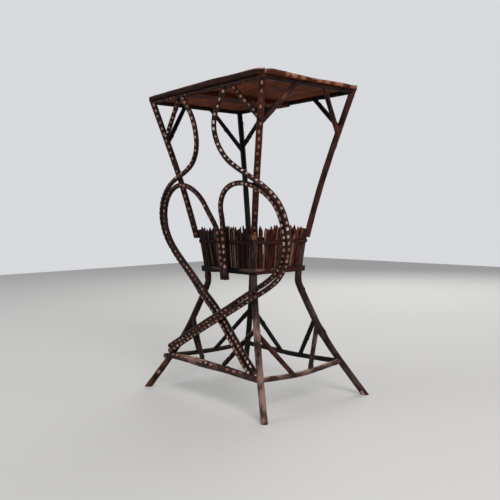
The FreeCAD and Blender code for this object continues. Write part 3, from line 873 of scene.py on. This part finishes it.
def make_braces():
    nicks = {"front": Nicks((0.0150, 0.0150), (0.6, 0.6), (0.55, 0.45), 0.0038, 0.0009)}
    rubs = {"right": (0.16, 0.16)}
    # The back and left braces wear the bark darkened with painted shade.
    barks = {"front": bark_dark, "right": bark_red, "back": bark_painted_shade, "left": bark_painted_shade}
    for side, ends in side_corners.items():
        long_side = side in long_sides
        points = stretcher_line(side)
        resting = between(points[1], points[2], 0.5)
        for corner in ends:
            sign_x, sign_y = corners[corner]
            end_name = corner.split("_")[1 if long_side else 0]
            stagger = 0 if long_side else brace_stagger
            top_start = on_line(post_line(corner), table_height * upper_brace_heights[corner] - stagger)
            low_start = on_line(leg_line(corner), table_height * lower_brace_heights[corner] - stagger)
            if long_side:
                reach = upper_brace_reach_x * upper_brace_reaches[corner]
                top_end = Vector((sign_x * reach, sign_y * post_top_y, top_rail_height))
                low_end = Vector((sign_x * lower_brace_reach_x, resting.y, resting.z))
            else:
                top_end = Vector((sign_x * post_top_x, sign_y * upper_brace_reach_y, top_rail_height))
                low_end = Vector((resting.x, sign_y * lower_brace_reach_y, resting.z))
            for place, start, end in (("upper", top_start, top_end), ("lower", low_start, low_end)):
                bark = bark_plum if (place, side, end_name) == ("lower", "right", "back") else barks[side]
                twig(place + "_brace_" + side + "_side_" + end_name, [start, end], brace_diameter,
                     outwards[side], bark, end_diameter=brace_end_diameter,
                     nicks=nicks.get(side), knots=2, sides=18, rub=rubs.get(side, no_rub))


# The bent twigs are a little thicker than their solids, the stems' upper ends least of all
stem_start_swell = 1.04
bent_swell = 1.08


def make_heart():
    front = outwards["front"]
    heart_rubs = {"left": (0.04, 0.04), "right": (0.12, 0.16, 0.10, 0.02)}
    for side, lobe, run, nicks in (
        ("left", left_stem_lobe, left_run,
         Nicks((0.0157, 0.0135, 0.0140), (-0.9, 0.0, 0.55, 0.7, 0.0, -0.4), (0.5, 0.35, 0.6), depth=0.0011)),
        ("right", right_stem_lobe, right_run,
         Nicks((0.0190, 0.0140, 0.0145), (-0.9, -0.9, -0.5), (0.55, 0.75, 0.70, 0.35, 0.5, 0.6))),
    ):
        twig("heart_stem_" + side, route(lobe + run), stem_diameter * stem_start_swell, front, bark_heart,
             end_diameter=stem_diameter * bent_swell, nicks=nicks, knots=6, step=0.0010,
             sides=24, sway=0.0006, rub=heart_rubs[side])
    for side, sign, lobe, run, nicks in (
        ("left", -1, left_arch_lobe, left_run,
         Nicks((0.0150, 0.0140), (0.8, -0.1, 0.1, -0.4), (0.25, 0.25, 0.5, 0.6), span=(0.03, 1.0))),
        ("right", 1, right_arch_lobe, right_run,
         Nicks((0.0165, 0.0135, 0.0145), (0.8, 0.1, -1.0, -0.5), (0.70, 0.30, 0.45, 0.65, 0.30, 0.45, 0.50),
               span=(0.025, 1.0))),
    ):
        points = lengthened(arch_foot(sign), arch_foot_drop) + route(list(lobe) + run_above(run))
        twig("heart_arch_" + side, points, stem_diameter * bent_swell, front, bark_heart,
             nicks=nicks, knots=5, swells=[(0.008, 0.024, 0.0011)], step=0.0010, sides=24, sway=0.0004,
             rub=heart_rubs[side])


# Basket and edge slips, of split sticks
def wall_sizes(side):
    """Half length along the wall, its distance from the middle, its shift along itself, and its two leans."""
    half_long, shift = (wall_y + back_wall_y) / 2, (back_wall_y - wall_y) / 2
    return {
        "front": (wall_x, wall_y, 0.0, wall_lean_x, wall_lean_y),
        "right": (half_long, wall_x, shift, wall_lean_y, wall_lean_x),
        "back": (wall_x, back_wall_y, 0.0, wall_lean_x, wall_lean_y),
        "left": (half_long, wall_x, -shift, wall_lean_y, wall_lean_x),
    }[side]


def turned_to(side):
    return Matrix.Rotation(math.radians(wall_turns[side]), 4, "Z")


def on_wall(side):
    """Carries a piece drawn flat, outside at minus y, onto a leaning wall of the basket."""
    _, distance, shift, _, lean = wall_sizes(side)
    tilt = Matrix.Translation((shift, -distance, rim_height)) @ Matrix.Rotation(math.atan(lean), 4, "X")
    return turned_to(side) @ tilt


def standing_edges(shape, length):
    return [edge for edge in shape.edges if abs(edge.verts[0].co.z - edge.verts[1].co.z) > length / 2]


def split_stick(width, thickness, length, pieces, start=0.0):
    """A split stick standing on z = 0: rounded bark at y = 0, flat inside at y = thickness, UV along it."""
    shape = new_shape()
    for vertex in bmesh.ops.create_cube(shape, size=1.0)["verts"]:
        across, through, up = vertex.co
        vertex.co = Vector((across * width, (through + 0.5) * thickness, (up + 0.5) * length))
    uprights = standing_edges(shape, length)
    outer = [edge for edge in uprights if edge.verts[0].co.y < thickness / 2]
    bmesh.ops.bevel(shape, geom=outer, offset=min(thickness * 0.62, width * 0.42), segments=3, profile=0.5,
                    affect="EDGES", material=-1)
    inner = [edge for edge in uprights if edge.is_valid and edge not in outer]
    bmesh.ops.bevel(shape, geom=inner, offset=thickness * 0.12, segments=1, profile=0.5,
                    affect="EDGES", material=-1)
    bmesh.ops.subdivide_edges(shape, edges=standing_edges(shape, length), cuts=pieces - 1, use_grid_fill=True)
    shape.normal_update()
    maps = shape.loops.layers.uv["UVMap"]
    for skin in shape.faces:
        skin.smooth = abs(skin.normal.z) < 0.5
        for loop in skin.loops:
            loop[maps].uv = (loop.vert.co.z + start, loop.vert.co.x + loop.vert.co.y)
    return shape


def whittle_tip(shape, width, length, seeded):
    """Slanting knife cuts at a picket's top, which leave a thin point off its middle."""
    point = seeded.uniform(1.5, 2.7) * width
    tip = Vector((seeded.uniform(-0.30, 0.30) * width, picket_thickness * 0.6, length))
    slopes = [Vector((sign * point * seeded.uniform(0.8, 1.2), 0, width / 2 - sign * tip.x))
              for sign in (-1, 1)]
    slopes.append(Vector((0, -1, seeded.uniform(0.35, 0.8))))
    for slope in slopes:
        cut_off(shape, tip, slope.normalized())
        bmesh.ops.holes_fill(shape, edges=[edge for edge in shape.edges if edge.is_boundary], sides=0)


def roughen(vertex, drift, rate=150, depth=0.0003):
    vertex.co += noise.noise_vector(vertex.co * rate + drift) * depth


def stick_drift(seeded):
    return Vector((seeded.uniform(0, 50), seeded.uniform(0, 50), 0))


def lay_down(shape, place, carrier):
    """Turns a standing stick to lie along x from a place, and carries it to its side of the table."""
    lying = Matrix.Translation(place) @ Matrix.Rotation(math.pi / 2, 4, "Y")
    bmesh.ops.transform(shape, matrix=carrier @ lying, verts=shape.verts)


flank_share = 0.44
tip_share = 0.86


def splint(width, length, seeded):
    """One split stave of a picket, warped, with its whittled tip and pale split flanks: bare wood, and
    painted light for light seen through the gaps between staves.
    """
    shape = split_stick(width, picket_thickness, length, 8, seeded.uniform(0, 3))
    whittle_tip(shape, width, length, seeded)
    wear = shape.verts.layers.float_color["wear"]
    drift = stick_drift(seeded)
    # Bare wood and painted light: the pale flanks make thin pale lines that also stand for light seen through
    # the gaps.
    flanks = {-1: seeded.uniform(-0.5, 1.1), 1: seeded.uniform(-0.5, 1.1)}
    bark_rub = seeded.uniform(-0.3, 0.35)
    for vertex in shape.verts:
        sign = 1 if vertex.co.x > 0 else -1
        on_flank = abs(vertex.co.x) > width * flank_share
        near_tip = max(0.0, vertex.co.z / length - tip_share) * 3
        bared = flanks[sign] if on_flank else near_tip + bark_rub
        vertex[wear] = (held(bared), 0.0, 0.0 if on_flank else 1.0, 1.0)
        vertex.co.x += waver(vertex.co.z, 18, drift) * 0.0013
        roughen(vertex, drift)
    return shape


picket_end_gap = 0.001
picket_fill = (0.78, 0.93)
picket_tilt = (-0.018, 0.018)
stave_lengths = (0.93, 1.05)
two_stave_share = 0.75


def make_pickets(side, bark):
    seeded = random.Random("pickets " + side)
    half_wall, _, _, lean_along, _ = wall_sizes(side)
    count = picket_counts[side]
    low_half = half_wall - leg_diameter - picket_end_gap
    row = new_shape()
    for index in range(count):
        share = (2 * index + 1) / count - 1
        width = 2 * low_half / count * seeded.uniform(*picket_fill)
        fan = math.atan(lean_along * share) + seeded.uniform(*picket_tilt)
        base = Matrix.Translation((low_half * share, 0, picket_lift)) @ Matrix.Rotation(fan, 4, "Y")
        staves = 2 if seeded.random() < two_stave_share else 1
        for stave in range(staves):
            length = picket_length * seeded.uniform(*stave_lengths)
            one = splint(width / staves, length, seeded)
            shift = Matrix.Translation(((stave - (staves - 1) / 2) * width / staves, 0, 0))
            bmesh.ops.transform(one, matrix=on_wall(side) @ base @ shift, verts=one.verts)
            loose = mesh_of("loose stave", one)
            row.from_mesh(loose)
            bpy.data.meshes.remove(loose)
    finish_piece("split_pickets_" + side, row, [bark], ["basket_pickets_" + side])


def rounded_back(distance, radius):
    """How far an outline with rounded corners lies inside its square corner, this far from the corner."""
    return radius - math.sqrt(radius ** 2 - min(radius, max(0.0, radius - distance)) ** 2)


# The rim rails are a little narrower than their solids; the upper ones are slight and stop short of corners
rim_share = 0.92
upper_share = 0.62
upper_rail_short = 0.004
rim_splice = (0.019, 0.049)
splice_depth = 0.0010
rail_corner_radius = 0.006
least_corner_share = 0.3


def make_rail(name, side, rise, width, bark):
    """A split twig along the outside of the pickets, flat side in, and rounded where it turns the corner."""
    seeded = random.Random(name)
    half_wall, _, _, lean_along, _ = wall_sizes(side)
    over_corner, is_rim = side in long_sides, name.startswith("basket_rim")
    past_corner = -upper_rail_short
    if is_rim:
        past_corner = rail_thickness + rail_proud if over_corner else -seat_gap
    half = half_wall + lean_along * (rise + width / 2) + past_corner
    shape = split_stick(width, rail_thickness, 2 * half, 110)
    wear = shape.verts.layers.float_color["wear"]
    drift = stick_drift(seeded)
    for vertex in shape.verts:
        place = vertex.co.z
        from_end = min(place, 2 * half - place)
        spliced = is_rim and side == "front" and rim_splice[0] < place - half < rim_splice[1]
        rubbed = waver(place, 26, drift, 0, 3) + 0.25
        on_top = vertex.co.x < -width * 0.15 and is_rim
        vertex[wear] = (rubbed if on_top else 0.0, 0.9 if spliced else 0.0, 0.2, 1)
        if over_corner:
            keep = rail_thickness - vertex.co.y
            keep *= max(least_corner_share,
                        1 - rounded_back(from_end, rail_corner_radius) / rail_corner_radius)
            vertex.co.y = rail_thickness - keep
        if not is_rim:
            vertex.co.y = rail_thickness - (rail_thickness - vertex.co.y) * upper_share
        if spliced:
            vertex.co.y += splice_depth * (1 - vertex.co.y / rail_thickness)
        vertex.co.x *= (rim_share if is_rim else upper_share) * (1 + 0.18 * waver(place, 30, drift))
        sway = (0.0008 if is_rim else 0.0020) * math.sin(math.pi * place / (2 * half))
        vertex.co.x += sway * waver(place, 14, drift, 5)
        roughen(vertex, drift)
    lay_down(shape, (-half, -rail_thickness, rise + width / 2), on_wall(side))
    finish_piece("split_" + name, shape, [bark], [name])


def make_basket():
    for side in picket_counts:
        pickets, rim, upper = picket_black, rail_dark, picket_black
        if side == "right":
            pickets, rim, upper = picket_brown, rail_brown, rail_brown
        make_pickets(side, pickets)
        make_rail("basket_rim_rail_" + side, side, 0, rim_rail_width, rim)
        make_rail("basket_upper_rail_" + side, side, upper_rail_rise, upper_rail_width, upper)


slip_rises = {
    "front": ((0.0, 0.0012), (0.025, 0.0042), (0.045, 0.0046), (0.100, 0.0040), (0.165, 0.0052),
              (0.220, 0.0042), (0.310, 0.0030), (0.400, 0.0012), (0.440, 0.0)),
    "right": ((0.0, 0.0004), (0.025, 0.0034), (0.060, 0.0026), (0.090, 0.0008), (0.120, 0.0),
              (0.155, -0.0016), (0.200, -0.0006), (0.265, 0.0), (0.290, -0.0026), (0.320, -0.0034)),
}


def rise_along(rises, place):
    """The height of a slip's upper edge above the boards, through its measured places."""
    for (low, start), (high, end) in zip(rises, rises[1:]):
        if place <= high:
            share = (place - low) / (high - low)
            return between(start, end, share * share * (3 - 2 * share))
    return rises[-1][1]


long_slip_trim = 0.0009
thinnest_slip = 0.0004
pale_corner_length = 0.030
rosy_corner_length = 0.11


def make_slip(side):
    """A split twig along the boards' edge: bark outside, rubbed pale where hands and pots catch it, and on
    all but the right slip an upper edge paler from rubbing and painted light from above.
    """
    name = "edge_slip_" + side
    seeded = random.Random(name)
    long_side = side in long_sides
    trimmed = long_slip_trim if long_side else slip_thickness
    length = (top_length if long_side else top_width) - 2 * trimmed
    shape = split_stick(board_thickness, slip_thickness, length, 200)
    wear = shape.verts.layers.float_color["wear"]
    drift = stick_drift(seeded)
    near_end = {"front": length, "right": 0.0}.get(side)
    for vertex in shape.verts:
        place = vertex.co.z
        from_near = abs(place - near_end) if near_end is not None else 0.2
        near_share = max(0.0, 1 - from_near / pale_corner_length)
        patchy = waver(place, 30, drift) + 0.6 * waver(place, 75, drift, 2)
        if side == "right":
            rubbed = 0.34 + 0.2 * place / length + 0.6 * patchy
        # Wear and painted light: the upper edge of the front, back and left slips is paler, rubbed and
        # painted as lit from above.
        elif vertex.co.x < -board_thickness * 0.25:
            rubbed = 0.46 + patchy
        else:
            rubbed = -0.02 + 0.45 * patchy
        rosy = max(0.0, 1 - from_near / rosy_corner_length) + 0.4 * patchy
        vertex[wear] = (held(rubbed + near_share * 0.25), 0.0, held(rosy), 1)
        back = rounded_back(min(place, length - place) + trimmed, top_corner_radius)
        vertex.co.y = max(vertex.co.y, min(back, slip_thickness - thinnest_slip))
        if vertex.co.x < 0:
            rise = rise_along(slip_rises.get(side, ((0.0, 0.0),)), from_near)
            vertex.co.x -= rise + 0.0005 * max(-1.0, patchy)
        else:
            vertex.co.x += (0.0005 if long_side else -0.0010) * (1 + patchy)
        vertex.co.y += 0.0007 * waver(place, 28, drift, 3)
        roughen(vertex, drift, 160, 0.00025)
    distance = (top_width if long_side else top_length) / 2
    middle_height = board_underside + board_thickness / 2
    lay_down(shape, (-length / 2, -distance, middle_height), turned_to(side))
    bark = slip_dark if side in ("front", "left") else slip_pale
    finish_piece("worn_" + name, shape, [bark], [name])


# Boards, the batten and the basket's floor keep their solids' outlines
def board_piece(node, material, edge=0.0008, segments=2):
    """The solid's own shape, with its edges rounded by wear."""
    shape = bmesh.new()
    shape.from_mesh(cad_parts[node].data)
    bmesh.ops.remove_doubles(shape, verts=shape.verts, dist=same_place)
    bmesh.ops.dissolve_limit(shape, angle_limit=0.02, verts=shape.verts, edges=shape.edges)
    sharp = [edge_line for edge_line in shape.edges
             if len(edge_line.link_faces) == 2 and edge_line.calc_face_angle() > 0.5]
    bmesh.ops.bevel(shape, geom=sharp, offset=edge, segments=segments, profile=0.5, affect="EDGES",
                    material=-1, clamp_overlap=True)
    finish_piece("worn_" + node, shape, [material], [node])


def make_top():
    for place, material in (("front", board_front), ("middle", board_middle), ("back", board_back)):
        board_piece("top_board_" + place, material, edge=0.0012)
    board_piece("top_batten", board_dark, edge=0.0014)
    for side in outwards:
        make_slip(side)


def make_table():
    make_top()
    make_top_rails()
    make_posts()
    make_braces()
    make_basket()
    board_piece("basket_floor", board_basket, edge=0.0005, segments=1)
    make_legs()
    make_stretchers()
    make_heart()


# Surroundings
def make_floor():
    ground = bmesh.new()
    bmesh.ops.create_grid(ground, x_segments=1, y_segments=1, size=4.0)
    mesh = mesh_of("floor", ground)
    floor = in_scene("floor", mesh)
    f = Finish("pale floor")
    f.set("Base Color", colour((205, 203, 200)))
    f.set("Roughness", 0.85)
    mesh.materials.append(f.material)


def area_light(name, place, target, size, power, tint=(1, 1, 1)):
    lamp = bpy.data.lights.new(name, "AREA")
    lamp.size = size
    lamp.energy = power
    lamp.color = tint
    holder = in_scene(name, lamp)
    holder.location = place
    holder.rotation_euler = (Vector(target) - Vector(place)).to_track_quat("-Z", "Y").to_euler()


def make_light():
    middle = (0, 0, 0.4)
    area_light("window", (2.6, -1.0, 2.2), middle, 1.6, 62, (1.0, 0.99, 0.97))
    area_light("room", (-1.6, -2.6, 1.6), middle, 2.2, 26, (0.95, 0.97, 1.0))
    area_light("behind", (-1.2, 2.4, 2.0), middle, 2.0, 38, (1.0, 1.0, 1.0))
    world = bpy.data.worlds.new("pale room")
    world.use_nodes = True
    nodes, links = world.node_tree.nodes, world.node_tree.links
    background = nodes["Background"]
    paths = nodes.new("ShaderNodeLightPath")
    seen = nodes.new("ShaderNodeMath")
    seen.operation = "MAXIMUM"
    links.new(paths.outputs["Is Camera Ray"], seen.inputs[0])
    links.new(paths.outputs["Is Glossy Ray"], seen.inputs[1])
    strength = nodes.new("ShaderNodeMapRange")
    strength.inputs["To Min"].default_value = 0.45
    strength.inputs["To Max"].default_value = 0.72
    links.new(seen.outputs["Value"], strength.inputs["Value"])
    links.new(strength.outputs["Result"], background.inputs["Strength"])
    background.inputs["Color"].default_value = (0.95, 0.97, 1.0, 1.0)
    bpy.context.scene.world = world


def make_camera():
    """Stands where the photograph was taken: right of the front, just above half the table's height."""
    place = Vector((1.2610, -1.1240, 0.4425))
    yaw, pitch, roll = math.radians(48.403), math.radians(-2.930), math.radians(-0.759)
    view = Vector((-math.sin(yaw) * math.cos(pitch), math.cos(yaw) * math.cos(pitch), math.sin(pitch)))
    right = Vector((math.cos(yaw), math.sin(yaw), 0))
    up = right.cross(view)
    right = right * math.cos(roll) + up * math.sin(roll)
    up = right.cross(view)
    lens = bpy.data.cameras.new("camera")
    lens.sensor_width = 36.0
    lens.lens = 48.49
    holder = in_scene("camera", lens)
    turned = Matrix((right, up, -view)).transposed().to_4x4()
    holder.matrix_world = Matrix.Translation(place) @ turned
    bpy.context.scene.camera = holder


make_table()
make_floor()
make_light()
make_camera()
bpy.context.scene.view_settings.view_transform = "Standard"
